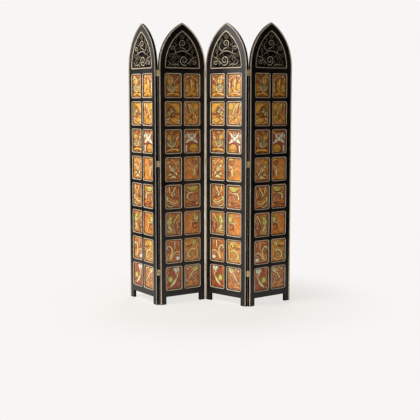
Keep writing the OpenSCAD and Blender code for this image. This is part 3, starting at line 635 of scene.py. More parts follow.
# The motifs of the tiles from the top row down, left tile and then right: two colours that
# the background wanders between, how strongly it is grooved, and the shapes that lie on it.
# Places are in millimetres from the lower left of the part that shows, which is 109 by 142.
#   line: colour, width at the start and end, points    leaf: colour, width, points
#   bloom: colour, centre, half width and height, turn, petals
tileMotifs = {
    "budOnCup": (
        "gold", "rust", 1.0,
        ("leaf", "rust", 22, (4, 84), (22, 104), (46, 112)),
        ("leaf", "rust", 10, (18, 138), (44, 128), (66, 138)),
        ("line", "pink", 6, 4, (8, 122), (26, 108), (40, 90), (42, 70)),
        ("line", "gold", 13, 11, (6, 10), (50, 24), (104, 10)),
        ("line", "rust", 5, 4, (6, 34), (36, 26), (60, 36), (104, 28)),
        ("line", "cream", 6, 5, (54, 84), (56, 112), (76, 124), (96, 116)),
        ("bloom", "gold", (78, 98), 17, 20, -28, 0),
        ("leaf", "green", 11, (66, 82), (60, 98), (66, 116)),
        ("bloom", "putty", (67, 58), 31, 20, 14, 5), ("bloom", "sage", (68, 60), 16, 9, 14, 3),
        ("line", "cream", 6, 4, (36, 70), (42, 46), (60, 34), (84, 42), (102, 66)),
        ("leaf", "pink", 10, (90, 132), (102, 120), (106, 100)),
    ),
    "tallStalk": (
        "gold", "orange", 1.0,
        ("leaf", "rust", 16, (24, 134), (28, 104), (22, 72)), ("bloom", "gold", (86, 62), 19, 25, 0, 0),
        ("line", "rust", 9, 6, (68, 128), (72, 100), (66, 88)),
        ("line", "pink", 8, 6, (6, 100), (28, 118), (50, 134)),
        ("line", "cream", 8, 7, (6, 92), (14, 72), (6, 52), (10, 24)),
        ("line", "rust", 6, 4, (30, 92), (26, 62), (36, 36)),
        ("leaf", "straw", 19, (62, 118), (54, 86), (56, 46)),
        ("line", "cream", 6, 4, (104, 50), (86, 32), (72, 38)),
        ("bloom", "pink", (86, 131), 13, 9, 0, 5),
        ("line", "gold", 12, 8, (20, 12), (56, 22), (104, 10)),
    ),
    "paleBlossom": (
        "gold", "amber", 1.0,
        ("leaf", "gold", 40, (6, 74), (26, 118), (78, 130)),
        ("leaf", "gold", 34, (10, 34), (46, 30), (76, 56)),
        ("line", "rust", 8, 6, (10, 66), (40, 68), (48, 96), (64, 118), (88, 100), (104, 84)),
        ("line", "red", 8, 5, (40, 52), (62, 46), (88, 52), (94, 38), (80, 30)),
        ("leaf", "rust", 26, (40, 86), (74, 82), (106, 76)),
        ("leaf", "rust", 24, (84, 50), (76, 82), (62, 114)),
        ("leaf", "green", 18, (84, 54), (76, 82), (63, 109)),
        ("leaf", "green", 17, (48, 87), (74, 82), (101, 77)), ("bloom", "sage", (75, 82), 5, 5, 0, 0),
        ("line", "cream", 7, 4, (78, 48), (92, 32), (104, 42)),
        ("line", "cream", 6, 4, (2, 20), (16, 34), (12, 10), (30, 14)),
        ("leaf", "pink", 9, (86, 8), (98, 18), (104, 30)),
    ),
    "crestedBird": (
        "gold", "orange", 0.9,
        ("bloom", "gold", (22, 116), 24, 28, 30, 0),
        ("leaf", "orange", 28, (104, 134), (94, 104), (84, 70)),
        ("line", "red", 5, 4, (92, 128), (84, 100), (76, 74)),
        ("line", "rust", 8, 6, (44, 64), (66, 40), (96, 8)), ("bloom", "gold", (66, 24), 18, 17, 0, 0),
        ("line", "pink", 8, 5, (106, 92), (88, 70), (60, 56)),
        ("line", "cream", 7, 8, (104, 138), (98, 112)),
        ("line", "straw", 10, 5, (36, 70), (20, 44), (10, 14)),
        ("leaf", "straw", 30, (78, 138), (58, 96), (32, 60)),
        ("leaf", "sage", 9, (68, 116), (60, 96), (48, 76)),
        ("line", "pink", 6, 5, (14, 12), (50, 8), (92, 14)),
    ),
    "budOnCupLow": (
        "amber", "rust", 0.9,
        ("leaf", "pink", 20, (8, 104), (24, 92), (30, 70)),
        ("leaf", "rust", 14, (18, 136), (44, 124), (58, 100)),
        ("line", "gold", 15, 12, (6, 12), (50, 22), (104, 10)),
        ("line", "rust", 5, 4, (6, 36), (40, 28), (70, 34), (104, 30)),
        ("bloom", "gold", (80, 98), 18, 20, -20, 0),
        ("leaf", "sage", 13, (56, 78), (50, 98), (58, 116)),
        ("bloom", "putty", (66, 58), 31, 20, 16, 5), ("bloom", "sage", (68, 60), 17, 10, 16, 3),
        ("line", "cream", 6, 4, (34, 72), (42, 46), (58, 36), (84, 44), (100, 68)),
        ("line", "pink", 6, 4, (96, 130), (104, 110), (100, 88)),
    ),
    "whiteDove": (
        "gold", "red", 0.7,
        ("leaf", "red", 30, (30, 138), (56, 122), (82, 138)),
        ("leaf", "orange", 12, (42, 134), (56, 124), (70, 134)),
        ("line", "white", 5, 4, (38, 124), (56, 112), (74, 126)),
        ("leaf", "red", 20, (4, 124), (10, 100), (8, 72)),
        ("line", "red", 12, 12, (2, 46), (28, 62), (64, 62), (84, 40), (84, 2)),
        ("bloom", "gold", (40, 26), 36, 29, 0, 0),
        ("line", "amber", 8, 6, (10, 14), (40, 20), (66, 12)),
        ("leaf", "white", 25, (64, 98), (38, 80), (2, 56)),
        ("leaf", "white", 25, (48, 98), (76, 80), (106, 58)),
        ("leaf", "white", 21, (60, 82), (38, 100), (18, 130)),
        ("leaf", "white", 21, (50, 80), (74, 102), (92, 132)),
        ("bloom", "white", (55, 88), 17, 16, 0, 0), ("bloom", "white", (102, 106), 6, 14, 0, 0),
        ("line", "white", 10, 9, (94, 48), (96, 26), (98, 2)),
    ),
    "sparrow": (
        "amber", "orange", 0.6,
        ("bloom", "gold", (88, 116), 16, 16, 0, 0),
        ("line", "pink", 9, 5, (72, 140), (36, 106), (24, 68)),
        ("line", "white", 5, 4, (10, 126), (22, 110), (32, 96)),
        ("leaf", "rust", 22, (62, 46), (80, 38), (98, 44)),
        ("leaf", "green", 16, (66, 30), (80, 40), (92, 26)),
        ("leaf", "cream", 17, (30, 12), (54, 22), (84, 8)),
        ("line", "rust", 6, 5, (4, 50), (20, 38), (30, 20)),
        ("line", "white", 12, 7, (48, 62), (34, 48), (24, 30)),
        ("bloom", "cream", (60, 74), 16, 28, -48, 0), ("bloom", "cream", (78, 90), 12, 11, 0, 0),
        ("leaf", "straw", 8, (48, 62), (58, 76), (68, 88)),
    ),
    "forkedTwig": (
        "amber", "orange", 0.2,
        ("bloom", "gold", (24, 132), 20, 12, 0, 3), ("bloom", "rose", (32, 112), 17, 16, 0, 0),
        ("leaf", "rust", 14, (6, 62), (12, 42), (8, 18)),
        ("line", "pink", 6, 5, (92, 136), (64, 98), (40, 78), (4, 72)),
        ("line", "cream", 7, 5, (38, 78), (22, 84), (8, 98)),
        ("leaf", "cream", 15, (40, 78), (33, 48), (50, 16)),
    ),
    "tallReeds": (
        "orange", "rose", 0.9,
        ("bloom", "rose", (28, 96), 22, 34, 0, 0),
        ("line", "cream", 10, 6, (86, 140), (84, 116), (78, 94)),
        ("line", "cream", 9, 7, (32, 138), (50, 112), (66, 86), (54, 70)),
        ("bloom", "sage", (46, 88), 9, 11, 0, 0),
        ("line", "gold", 7, 6, (104, 74), (76, 60), (46, 42), (14, 52)),
        ("line", "cream", 8, 6, (92, 52), (64, 34), (36, 28), (12, 42)),
        ("line", "pink", 6, 5, (78, 30), (52, 16), (26, 18)),
        ("leaf", "cream", 13, (104, 76), (98, 56), (104, 34)),
        ("line", "green", 7, 6, (106, 24), (84, 8), (56, 4)),
        ("line", "gold", 7, 6, (14, 124), (12, 92), (18, 64)),
    ),
    "crownBlossom": (
        "orange", "rose", 0.65,
        ("bloom", "rose", (46, 62), 34, 36, 0, 0),
        ("line", "gold", 6, 6, (6, 116), (14, 98), (50, 94), (92, 100), (100, 124)),
        ("leaf", "lime", 30, (10, 132), (50, 118), (92, 132)),
        ("line", "green", 4, 4, (26, 124), (50, 116), (74, 124)),
        ("line", "cream", 6, 13, (40, 94), (76, 90), (90, 68), (84, 52)),
        ("line", "gold", 7, 5, (84, 52), (66, 40), (52, 50), (60, 62)),
        ("line", "pink", 6, 5, (22, 78), (16, 54), (30, 34)), ("bloom", "gold", (12, 20), 11, 9, 0, 5),
        ("line", "rust", 6, 5, (36, 22), (64, 14), (100, 20)),
    ),
    "parakeet": (
        "amber", "rose", 0.7,
        ("leaf", "rust", 44, (16, 98), (26, 56), (30, 4)),
        ("leaf", "rose", 28, (14, 90), (24, 58), (30, 16)),
        ("line", "pink", 6, 5, (4, 78), (20, 90), (32, 76), (20, 64)),
        ("line", "pink", 5, 5, (8, 46), (20, 54), (26, 38)),
        ("line", "cream", 7, 5, (16, 134), (34, 108), (52, 74)),
        ("leaf", "green", 22, (96, 78), (78, 44), (54, 6)),
        ("leaf", "lime", 12, (62, 132), (66, 112), (72, 96)),
        ("bloom", "lime", (84, 88), 20, 24, 18, 0), ("bloom", "lime", (76, 110), 15, 13, 0, 0),
        ("leaf", "cream", 11, (92, 108), (88, 88), (94, 70)),
        ("line", "cream", 6, 5, (58, 40), (80, 22), (104, 26)),
        ("line", "gold", 6, 5, (64, 20), (84, 8), (104, 10)),
    ),
    "cornerBird": (
        "orange", "amber", 0.25,
        ("line", "rust", 6, 5, (10, 62), (32, 68), (48, 54), (38, 34), (18, 36)),
        ("bloom", "orange", (30, 50), 13, 12, 0, 0),
        ("line", "cream", 6, 5, (12, 74), (36, 80), (54, 70), (66, 40)),
        ("line", "cream", 6, 4, (54, 70), (70, 92)),
        ("leaf", "lime", 15, (28, 92), (34, 116), (26, 138)),
        ("bloom", "lime", (20, 100), 18, 21, -14, 0),
        ("leaf", "cream", 13, (8, 116), (18, 98), (36, 90)),
        ("line", "pink", 6, 5, (62, 122), (82, 130), (98, 122)),
    ),
    "vineScrolls": (
        "orange", "rose", 0.7,
        ("line", "cream", 9, 6, (42, 138), (44, 120), (42, 84)),
        ("line", "pink", 6, 5, (14, 136), (18, 104)), ("bloom", "rose", (88, 82), 12, 15, 0, 0),
        ("line", "cream", 10, 8, (88, 8), (68, 48), (65, 80), (82, 104), (102, 100), (100, 84)),
        ("line", "cream", 7, 6, (2, 60), (34, 66), (62, 38), (76, 6)),
        ("line", "gold", 7, 6, (92, 60), (100, 34), (96, 8)),
        ("bloom", "white", (20, 22), 17, 13, 0, 5), ("line", "pink", 5, 5, (36, 44), (20, 48), (6, 36)),
        ("line", "gold", 6, 6, (48, 12), (62, 6), (74, 14)),
    ),
    "doubleVolute": (
        "amber", "gold", 0.45,
        ("line", "gold", 10, 8, (12, 6), (14, 56), (20, 98), (38, 132)),
        ("line", "gold", 8, 7, (24, 60), (34, 94), (58, 118), (96, 128)),
        ("leaf", "lime", 20, (48, 100), (40, 118), (36, 140)),
        ("leaf", "cream", 11, (22, 110), (30, 124), (28, 140)),
        ("line", "cream", 8, 11, (22, 66), (48, 78), (78, 64), (88, 36), (66, 18)),
        ("line", "gold", 7, 6, (62, 22), (44, 34), (54, 52), (70, 46)),
        ("bloom", "pink", (32, 20), 12, 9, 0, 5), ("line", "rust", 5, 4, (56, 104), (76, 92), (96, 96)),
    ),
    "pearAndTrumpet": (
        "red", "orange", 0.5,
        ("leaf", "sage", 26, (14, 134), (40, 122), (70, 132)),
        ("leaf", "white", 34, (12, 138), (30, 122), (40, 94)),
        ("leaf", "white", 24, (56, 136), (38, 124), (32, 98)),
        ("line", "green", 8, 9, (32, 104), (26, 78), (42, 52)),
        ("leaf", "cream", 20, (30, 68), (54, 38), (86, 8)),
        ("bloom", "cream", (78, 66), 22, 24, -18, 0), ("bloom", "lime", (78, 64), 19, 21, -18, 0),
        ("line", "rust", 7, 5, (10, 56), (14, 30), (30, 8)),
        ("line", "orange", 8, 6, (84, 122), (100, 96), (98, 60)),
    ),
    "trumpetSpray": (
        "rose", "amber", 0.5,
        ("line", "pink", 6, 5, (6, 96), (30, 92), (48, 72), (40, 50)),
        ("line", "pink", 5, 5, (10, 74), (26, 66), (30, 46), (12, 36)),
        ("leaf", "green", 30, (4, 138), (30, 122), (60, 118)),
        ("leaf", "cream", 17, (6, 128), (30, 112), (54, 96)),
        ("line", "cream", 10, 5, (44, 108), (72, 68), (98, 38)),
        ("line", "cream", 6, 4, (84, 52), (98, 42), (104, 56)),
        ("bloom", "pink", (90, 126), 12, 10, 0, 5), ("bloom", "cream", (68, 134), 9, 6, 0, 5),
        ("line", "gold", 9, 7, (46, 12), (76, 20), (104, 12)),
    ),
}

tile = {
    "faceDepth": 5.5 * mm,              # behind the frame's front
    "thickness": 7 * mm,
    "gap": 0.2 * mm,
    "shown": (109, 142),                # millimetres of the tile that show inside its moulding
    "cells": (64, 84),
    "margin": 1.6,                      # millimetres of relief that run on under the moulding
    "rise": {"line": 1.9, "leaf": 1.6, "bloom": 2.7},
    "groundRise": 0.8,
    "veinDepth": 0.3,
    "patches": 0.75,                    # how far the ground goes over to its second colour
    "groundShadeByHeight": (0.83, 0.42),         # painted shade between the ground's raised bands, and the painted light the bands add
    "cutPaint": 0.86,                   # share of the groove's colour in the ground's grooves
    "rimShade": 0.94,                   # how much of the ground beside a shape is covered by painted shade, which also draws its dark outline; tone of that painted shade
    "rimShadeTone": 0.6,                     # tone of what covers it
    "rimShadeFade": 8,                       # square millimetres over which it fades out
    "domeLightAndShade": (1.12, 0.5),           # painted highlight at a shape's middle, and the painted shade that darkens its rim
    "lipShadeTone": (0.3, 0.7),              # painted shade beside the moulding, under its lip, and what the tile gains away from it
    "skirtTone": 0.3,
}


def swirl(x, y, seed):
    # soft bands that wander over the ground: sines whose phase is bent by other sines
    a, b, c, d = np.random.default_rng(seed).uniform(0, 6.28, 4)
    bend = 1.7 * np.sin(x / 19 + a) + 1.5 * np.sin(y / 23 + b) + 0.8 * np.sin((x + y) / 6 + d)
    return 0.5 + 0.5 * np.sin(x / 11 * math.cos(c) + y / 9 * math.sin(c) + bend)


def shapeOf(kind, rest, x, y):
    # share out, gap to the rim in millimetres, and veins (0 to 1) of one carved shape
    if kind == "bloom":
        share, gap, angle = oval(x, y, *rest)
        petals = rest[-1]
        if petals:
            return share, gap, 1 - np.abs(np.cos(petals * angle / 2)) ** 0.5
        return share, gap, 0.5 + 0.5 * np.cos(share * 14)
    if kind == "leaf":
        width, *points = rest
        share, gap, along = leafStroke(x, y, throughPoints(points), width)
        veins = 0.5 + 0.5 * np.cos(along * 60 - share * 5)
        return share, gap, np.maximum(np.exp(-(share / 0.16) ** 2), 0.5 * veins)
    start, end, *points = rest
    share, gap = stroke(x, y, throughPoints(points), start, end)
    return share, gap, 0 * share


def paintedTile(motif, seed):
    # a grid over the tile with its height and colour: each shape is a dome laid over what is there, with
    # painted shade round its foot and rim, a painted highlight at its middle and veins cut in; the ground
    # has painted shade in its hollows and under the moulding's lip; places are from the tile's middle
    first, second, grooves, *shapes = motif
    first, second, dark = (np.array(hue[name]) for name in (first, second, "groove"))
    (nx, ny), (wide, high), margin = tile["cells"], tile["shown"], tile["margin"]
    x, y = np.meshgrid(np.linspace(-margin, wide + margin, nx),
                       np.linspace(-margin, high + margin, ny), indexing="ij")
    px, py = x.ravel(), y.ravel()
    bands = swirl(px, py, seed)
    tone = smooth(0.25, 0.8, swirl(px, py, seed + 50))[:, None]
    # the ground follows its relief: painted shade in its hollows, painted light on its raised bands
    low, more = tile["groundShadeByHeight"]
    colour = (first + (second - first) * tile["patches"] * tone) * (low + more * bands[:, None])
    # narrow grooves along the middle of the bands, and finer scrollwork between them
    fine, finest = swirl(2.1 * px, 2.1 * py, seed + 9), swirl(3.4 * px, 3.4 * py, seed + 23)
    cuts = (np.exp(-((bands - 0.5) / 0.15) ** 2) + 0.7 * np.exp(-((fine - 0.5) / 0.18) ** 2)
            + 0.6 * smooth(0.8, 0.98, finest))
    cuts = grooves * np.clip(cuts, 0, 1)
    cover = tile["cutPaint"] * cuts[:, None]
    colour = colour * (1 - cover) + dark * cover
    height = tile["groundRise"] * (bands - 0.5 * cuts)
    # each shape gets a painted highlight at its middle and painted shade towards its rim
    middle, loss = tile["domeLightAndShade"]
    for kind, name, *rest in shapes:
        share, gap, veins = shapeOf(kind, rest, px, py)
        # painted shade at the foot of each shape, also standing for its dark outline
        cover = tile["rimShade"] * np.exp(-np.clip(gap, 0, None) ** 2 / tile["rimShadeFade"])[:, None]
        colour = colour * (1 - cover) + dark * tile["rimShadeTone"] * cover
        inside = smooth(0.7, -0.5, gap)
        dome = tile["rise"][kind] * np.sqrt(np.clip(1 - share ** 2, 0, 1)) - tile["veinDepth"] * veins
        height = np.where(gap < 0.4, np.maximum(height, height * 0.35 + dome * inside), height)
        body = (middle - loss * np.clip(share, 0, 1) ** 3) * (1 - tile["veinDepth"] * veins)
        inside = inside[:, None]
        colour = colour * (1 - inside) + np.array(hue[name]) * body[:, None] * inside
    edge = np.minimum.reduce([px, wide - px, py, high - py])
    height = np.minimum(height, 0.9 + 2.4 * smooth(0, 5, edge))
    # painted shade under the moulding's lip, fading out over the tile's outer 5 millimetres
    low, more = tile["lipShadeTone"]
    colour = colour * (low + more * smooth(-0.5, 5, edge))[:, None]
    return ((x - wide / 2) * mm, (y - high / 2) * mm,
            height.reshape(nx, ny) * mm - tile["faceDepth"], colour.reshape(nx, ny, 3))


def outerRings(grid, count):
    # marks the points of a grid that belong to its outermost rings
    ring = np.ones(grid.shape, bool)
    ring[count:-count, count:-count] = False
    return ring


def addRings(grids, colour, count):
    # repeats the rim of each grid in more rings of points round it
    grids = [np.pad(grid, count, mode="edge") for grid in grids]
    return (*grids, np.pad(colour, ((count, count), (count, count), (0, 0)), mode="edge"))


def tilesOfPanel(k, painted):
    # sixteen closed tiles: a relief grid, a skirt round it and a flat back
    faces = closedGrid(*(cells + 4 for cells in tile["cells"]))
    halfW = tiling["openingWidth"] / 2 - tile["gap"]
    halfH = tiling["openingHeight"] / 2 - tile["gap"]
    parts, colours = [], []
    for row in range(tiling["rows"]):
        for side, column in enumerate(tiling["columns"]):
            u, z, out, colour = painted[2 * row + side]
            if k in screen["mirrored"]:
                u, out, colour = -u[::-1], out[::-1], colour[::-1]
            # two more rings of points: the tile's edge at face level, then at the back
            u, z, out, colour = addRings((u, z, out), colour, 2)
            u[:2], u[-2:], z[:, :2], z[:, -2:] = -halfW, halfW, -halfH, halfH
            skirt = outerRings(out, 2)
            out[skirt] = -tile["faceDepth"]
            out[outerRings(out, 1)] = -tile["faceDepth"] - tile["thickness"]
            colour[skirt] = np.array(hue["brown"]) * tile["skirtTone"]
            z = z + rowMiddle(tiling["rows"] - 1 - row)
            parts.append((toRoom(k, u + column, out, z), faces))
            colours.append(colour.reshape(-1, 3))
    piece = makePiece("reliefTiles", k, *joinParts(parts), [tilePaint, backPaint], "tile_paint",
                      "tiles", 60, np.concatenate(colours))
    # the last face of each tile is its back
    paintFaces(piece, np.arange(len(piece.data.polygons)) % len(faces) == len(faces) - 1)


# Carved boards in the heads

# Scrollwork in millimetres, x from the middle of the board and y from its visible base
carving = {
    "rise": 4.2,
    "leafRise": 0.85,                   # share of that for the leaves and the scrolls' eyes
    "eyeRise": 1.1,
    "fullness": {"scroll": 1.4, "stem": 1.5, "leaf": 1.25},
    # colours of the carving: the ground is its black, made darker as painted shade in the low gaps; the
    # crest colour is a painted highlight along the ridges
    "ground": srgb(6, 5, 4),
    "crest": srgb(222, 208, 178),
    "body": srgb(32, 28, 23),
    "highlightPower": 6,                    # how narrow the painted highlights along the crests are
    "curlSeed": 31,
    "curlScale": 1.55,
    "cells": (176, 168),
    "visibleInset": 51.5 * mm,
    "visibleBase": -2.5 * mm,
    "boardInset": 47.2 * mm,
    "boardBase": -6.8 * mm,
    "boardThickness": 6 * mm,
    "tipHalfWidth": 0.3 * mm,
    # centre, radius, turns, start angle, way round, width
    "scrolls": (
        ((-12, 43), 33, 1.5, -125, 1, 8), ((75, 118), 18, 1.25, -150, -1, 6),
        ((-2, 150), 26, 1.35, -60, 1, 7), ((-88, 26), 15, 1.2, 40, 1, 6),
    ),
    # width at the start and end, points
    "stems": (
        (4, 7, (-110, 66), (-82, 60), (-60, 40), (-31, 16)),
        (7, 4, (54, 82), (24, 99), (-20, 100), (-66, 76)),
        (7, 6, (54, 82), (51, 93), (59, 109)),
        (4, 7, (-32, 102), (-18, 116), (11, 127)),
        (6, 3, (-34, 101), (-53, 117), (-60, 148)),
        (5, 6, (-60, 46), (-69, 46), (-76, 36)),
        (7, 4, (26, 6), (48, 19), (76, 15), (106, 34)),
    ),
    # root, direction, length, width, bend
    "leaves": (
        ((-62, 79), 200, 34, 15, 0.25), ((54, 86), -128, 46, 15, -0.2), ((56, 84), -96, 50, 15, 0.12),
        ((57, 84), -62, 58, 15, 0.16), ((56, 88), -24, 50, 14, 0.2), ((58, 116), 118, 34, 11, -0.15),
        ((-55, 120), 158, 30, 12, -0.2), ((-60, 140), 60, 36, 12, -0.25), ((30, 138), 10, 32, 12, 0.25),
        ((2, 178), 92, 38, 13, 0.05), ((6, 176), 52, 30, 11, 0.35), ((-4, 178), 128, 26, 11, -0.3),
        ((-70, 80), 138, 32, 12, -0.2), ((-72, 92), 100, 30, 11, 0.2), ((-66, 36), -72, 34, 12, 0.2),
        ((-104, 50), -110, 34, 11, 0.2), ((62, 20), 52, 30, 12, 0.2), ((84, 19), -6, 26, 10, -0.2),
        ((20, 12), 30, 22, 9, 0.3), ((88, 60), 40, 24, 10, 0.3),
    ),
}


def scrollLine(centre, radius, turns, start, way):
    # a spiral that winds in from its radius to a fifth of it
    s = np.linspace(0, 1, round(20 * turns))
    angle = np.radians(start + way * 360 * turns * s)
    r = radius * (1 - 0.8 * s)
    return np.array(centre) + np.column_stack([r * np.cos(angle), r * np.sin(angle)])


def leafLine(root, direction, length, bend):
    # a spine that bends to one side with the square of the way along it
    s = np.linspace(0, 1, 9)
    a = math.radians(direction)
    along, aside = length * s, bend * length * s ** 2
    return np.array(root) + np.column_stack([along * math.cos(a) - aside * math.sin(a),
                                             along * math.sin(a) + aside * math.cos(a)])


def carvedHeight(x, y):
    # low flat curls with narrow gaps fill the ground; over them each stroke is a rounded ridge with a
    # groove down each side of its crest and a clear gap round it; it also gives where the painted
    # highlight along the crests lies
    bands = swirl(x * carving["curlScale"], y * carving["curlScale"], carving["curlSeed"])
    height = 0.1 + 2.7 * smooth(0.26, 0.5, bands)
    crest = 0.7 * smooth(0.7, 0.98, bands)
    full, rise = carving["fullness"], carving["rise"]

    def lay(share, gap, groove, top):
        nonlocal height, crest
        dome = top * np.clip(1 - np.clip(share, 0, 1) ** 2.2, 0, 1) ** 0.6 - 0.8 * groove
        moat = 1 - 0.97 * np.exp(-np.clip(gap, 0, None) ** 2 / 3.5)
        height = np.maximum(height * moat, dome * smooth(0.5, -0.4, gap))
        crest = np.where(gap < 0, (1 - share ** 2) * (1 - 0.7 * groove), crest * moat)

    def layStroke(share, gap):
        lay(share, gap, np.exp(-((share - 0.62) / 0.14) ** 2), rise)

    for root, direction, length, width, bend in carving["leaves"]:
        line = leafLine(root, direction, length, bend)
        share, gap, along = leafStroke(x, y, line, width * full["leaf"])
        veins = (0.5 + 0.5 * np.cos(along * 44 - share * 4)) * (share < 1)
        lay(share, gap, np.maximum(np.exp(-(share / 0.15) ** 2), 0.35 * veins), rise * carving["leafRise"])
    for start, end, *points in carving["stems"]:
        layStroke(*stroke(x, y, throughPoints(points), start * full["stem"], end * full["stem"]))
    for centre, radius, turns, start, way, width in carving["scrolls"]:
        line, width = scrollLine(centre, radius, turns, start, way), width * full["scroll"]
        layStroke(*stroke(x, y, line, width, width * 0.7, 0.04))
        share, gap, _ = oval(x, y, line[-1], radius * 0.18, radius * 0.18)
        lay(share, gap, 0 * share, rise * carving["eyeRise"])
    return height, np.clip(crest, 0, 1)


def boardHalfWidth(inset, y):
    # half the width of the pointed outline, drawn in by inset, at height y
    radius = screen["panelWidth"] / 2 + headCentre() - inset
    return np.sqrt(np.clip(radius ** 2 - np.clip(y, 0, None) ** 2, 0, None)) - headCentre()


def boardRelief():
    # a grid over the board with its height and crests: rows from its base to its point,
    # columns from side to side
    nx, ny = carving["cells"]
    base, inset = carving["boardBase"], carving["boardInset"]
    radius = screen["panelWidth"] / 2 + headCentre() - inset
    top = math.sqrt(radius ** 2 - headCentre() ** 2)
    y = base + (top - base) * np.linspace(0, 1, ny) ** 1.02
    half = np.maximum(boardHalfWidth(inset, y), carving["tipHalfWidth"])
    u = np.linspace(-1, 1, nx)[:, None] * half[None, :]
    z = np.repeat(y[None, :], nx, 0)
    above = z - carving["visibleBase"]
    height, crest = (grid.reshape(nx, ny) for grid in carvedHeight(u.ravel() / mm, above.ravel() / mm))
    reach = np.minimum(boardHalfWidth(carving["visibleInset"], z) - np.abs(u), above) / mm
    return u, z, np.minimum(height, 0.3 + 2.8 * smooth(-0.5, 3, reach)) * mm, crest


def carvedBoard(k, relief):
    u, z, height, crest = relief
    if k in screen["mirrored"]:
        height, crest = height[::-1], crest[::-1]
    # the colour follows the relief: painted shade in the low gaps, the body tone on the raised parts, a
    # painted highlight along the crests
    ground, body, bright = (np.array(carving[c]) for c in ("ground", "body", "crest"))
    lift = smooth(0.8 * mm, 2.5 * mm, height)[..., None]
    paintedHighlight = lift * crest[..., None] ** carving["highlightPower"]
    colour = ground + (body - ground) * lift + (bright - body) * paintedHighlight
    # one more ring of points at the back, closed by one flat face
    u, z, out, colour = addRings((u, z, height - tile["faceDepth"]), colour, 1)
    out[outerRings(out, 1)] = -tile["faceDepth"] - carving["boardThickness"]
    points = toRoom(k, u + screen["panelWidth"] / 2, out, z + screen["springLine"])
    makePiece("carvedBoard", k, points, closedGrid(*u.shape), [carvingPaint], "black_wood",
              "lunette", 60, colour.reshape(-1, 3))


painted = [paintedTile(motif, seed) for seed, motif in enumerate(tileMotifs.values())]
print("tile motifs carved:", len(painted))
relief = boardRelief()
print("head boards carved")
for k in range(1, screen["panelCount"] + 1):
    woodFrame(k)
    mouldings(k)
    edgeBead(k)
    tilesOfPanel(k, painted)
    carvedBoard(k, relief)
    print("panel", k, "dressed")
hinges()
print("hinges dressed")


# Floor, light and camera

studio = {
    "backdrop": srgb(248, 246, 245),
    "floorPaint": srgb(226, 223, 219),
    "floorShown": srgb(245, 243, 239),
    "floorReach": 60,                   # metres from the middle to its edge
    "shadowShare": 0.24,                # how much of the floor's own shading shows near the feet
    "shadowReach": (0.5, 1.3),          # metres from the middle over which that fades out
    "ambient": 0.062,
    "ambientTint": srgb(255, 216, 180),  # the tiles colour the light that reaches the shaded panels
    # place, size and power of each lamp
    "lamps": {
        "key": ((-3.15, -2.05, 4.2), 1.6, 270),
        "leftSoftbox": ((-4.6, -0.5, 2.6), 2.4, 60),
        "lowFill": ((0.7, -1.5, 0.12), 0.8, 8.8),
        "lowFillLeft": ((-1.6, -1.2, 0.12), 0.8, 3.0),
        "rear": ((0.8, 3.6, 3.4), 2.4, 120),
    },
    "aim": (0, 0, 0.9),
    # dark cards that only the gloss sees: distance to the side, from where to where, and height
    "cards": {
        "rightCard": (1.5, -3.4, 1.0, 3.6),
        "leftCard": (-1.7, 0.25, 2.6, 1.65),
    },
    "cardColour": (0.01, 0.01, 0.01),
}


def areaLight(name, place, size, power):
    lamp = bpy.data.lights.new(name, "AREA")
    lamp.shape = "SQUARE"
    lamp.size = size
    lamp.energy = power
    thing = addObject(name, lamp)
    thing.location = place
    thing.rotation_euler = (Vector(studio["aim"]) - Vector(place)).to_track_quat("-Z", "Y").to_euler()
    thing.visible_camera = False


def plainRay(tree, kinds):
    # 1 for the kinds of rays that should see the plain backdrop
    path = addNode(tree, "ShaderNodeLightPath")
    total = path.outputs[kinds[0]]
    for name in kinds[1:]:
        either = {0: total, 1: path.outputs[name]}
        total = addNode(tree, "ShaderNodeMath", either, operation="MAXIMUM").outputs[0]
    return total


def makeWorld():
    world = bpy.data.worlds.new("studioWorld")
    world.use_nodes = True
    bpy.context.scene.world = world
    tree = world.node_tree
    tree.nodes.clear()
    ambient = {"Color": studio["ambientTint"], "Strength": studio["ambient"]}
    soft = addNode(tree, "ShaderNodeBackground", ambient).outputs[0]
    plain = addNode(tree, "ShaderNodeBackground", {"Color": studio["backdrop"]}).outputs[0]
    rays = plainRay(tree, ("Is Camera Ray", "Is Glossy Ray", "Is Transmission Ray"))
    mix = addNode(tree, "ShaderNodeMixShader", {0: rays, 1: soft, 2: plain}).outputs[0]
    addNode(tree, "ShaderNodeOutputWorld", {"Surface": mix})


def flatSheet(name, corners, material):
    mesh = bpy.data.meshes.new(name)
    mesh.from_pydata(corners, [], [(0, 1, 2, 3)])
    mesh.materials.append(material)
    return addObject(name, mesh)


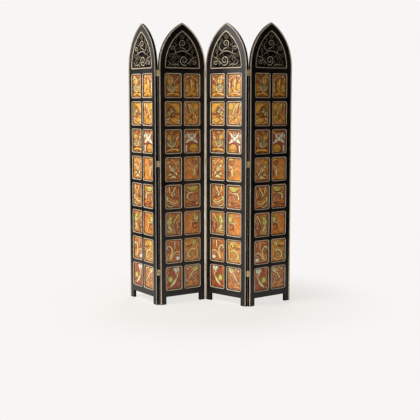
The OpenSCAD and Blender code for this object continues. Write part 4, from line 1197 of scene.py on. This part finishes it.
def makeFloor():
    # the camera sees the plain backdrop, with a share of the real shading near the feet
    material = bpy.data.materials.new("paleFloor")
    material.use_nodes = True
    tree = material.node_tree
    tree.nodes.clear()
    place = addNode(tree, "ShaderNodeTexCoord").outputs["Object"]
    away = addNode(tree, "ShaderNodeVectorMath", {0: place}, operation="LENGTH").outputs["Value"]
    near, far = studio["shadowReach"]
    fade = addNode(tree, "ShaderNodeMapRange", {"Value": away, "From Min": near, "From Max": far},
                   interpolation_type="SMOOTHSTEP").outputs["Result"]
    shown = addNode(tree, "ShaderNodeMix", {0: fade, 6: studio["floorShown"], 7: studio["backdrop"]},
                    data_type="RGBA").outputs[2]
    glow = addNode(tree, "ShaderNodeEmission", {"Color": shown}).outputs[0]
    plain = {"Value": fade, "To Min": 1 - studio["shadowShare"]}
    share = addNode(tree, "ShaderNodeMapRange", plain).outputs["Result"]
    rays = plainRay(tree, ("Is Camera Ray", "Is Transmission Ray"))
    seen = addNode(tree, "ShaderNodeMath", {0: rays, 1: share}, operation="MULTIPLY").outputs[0]
    paint = addNode(tree, "ShaderNodeBsdfDiffuse", {"Color": studio["floorPaint"]}).outputs[0]
    mix = addNode(tree, "ShaderNodeMixShader", {0: seen, 1: paint, 2: glow}).outputs[0]
    addNode(tree, "ShaderNodeOutputMaterial", {"Surface": mix})
    reach = studio["floorReach"]
    corners = [(-reach, -reach, 0), (reach, -reach, 0), (reach, reach, 0), (-reach, reach, 0)]
    floor = flatSheet("floor", corners, material)


def makeCard(name, x, nearY, farY, high):
    # stands beside the screen, so that the panels turned that way mirror something dark
    f = Finish(name)
    f.set(Base_Color=studio["cardColour"], Roughness=1, Specular_IOR_Level=0)
    corners = [(x, nearY, 0), (x, farY, 0), (x, farY, high), (x, nearY, high)]
    card = flatSheet(name, corners, f.material)
    card.visible_camera = False
    card.visible_diffuse = False
    card.visible_shadow = False


view = {
    "place": (0.0045, -5.907, 1.304),
    "lookDown": 6.66,                   # degrees below the horizon
    "lens": 76.94,                      # millimetres, on a square sensor of this width
    "sensor": 36,
}


def makeCamera():
    camera = bpy.data.cameras.new("camera")
    camera.lens = view["lens"]
    camera.sensor_width = view["sensor"]
    thing = addObject("camera", camera)
    thing.location = view["place"]
    thing.rotation_euler = (math.radians(90 - view["lookDown"]), 0, 0)
    bpy.context.scene.camera = thing


makeWorld()
makeFloor()
for name, sides in studio["cards"].items():
    makeCard(name, *sides)
makeCamera()
for name, lamp in studio["lamps"].items():
    areaLight(name, *lamp)
bpy.context.scene.view_settings.view_transform = "Standard"
print("studio ready")
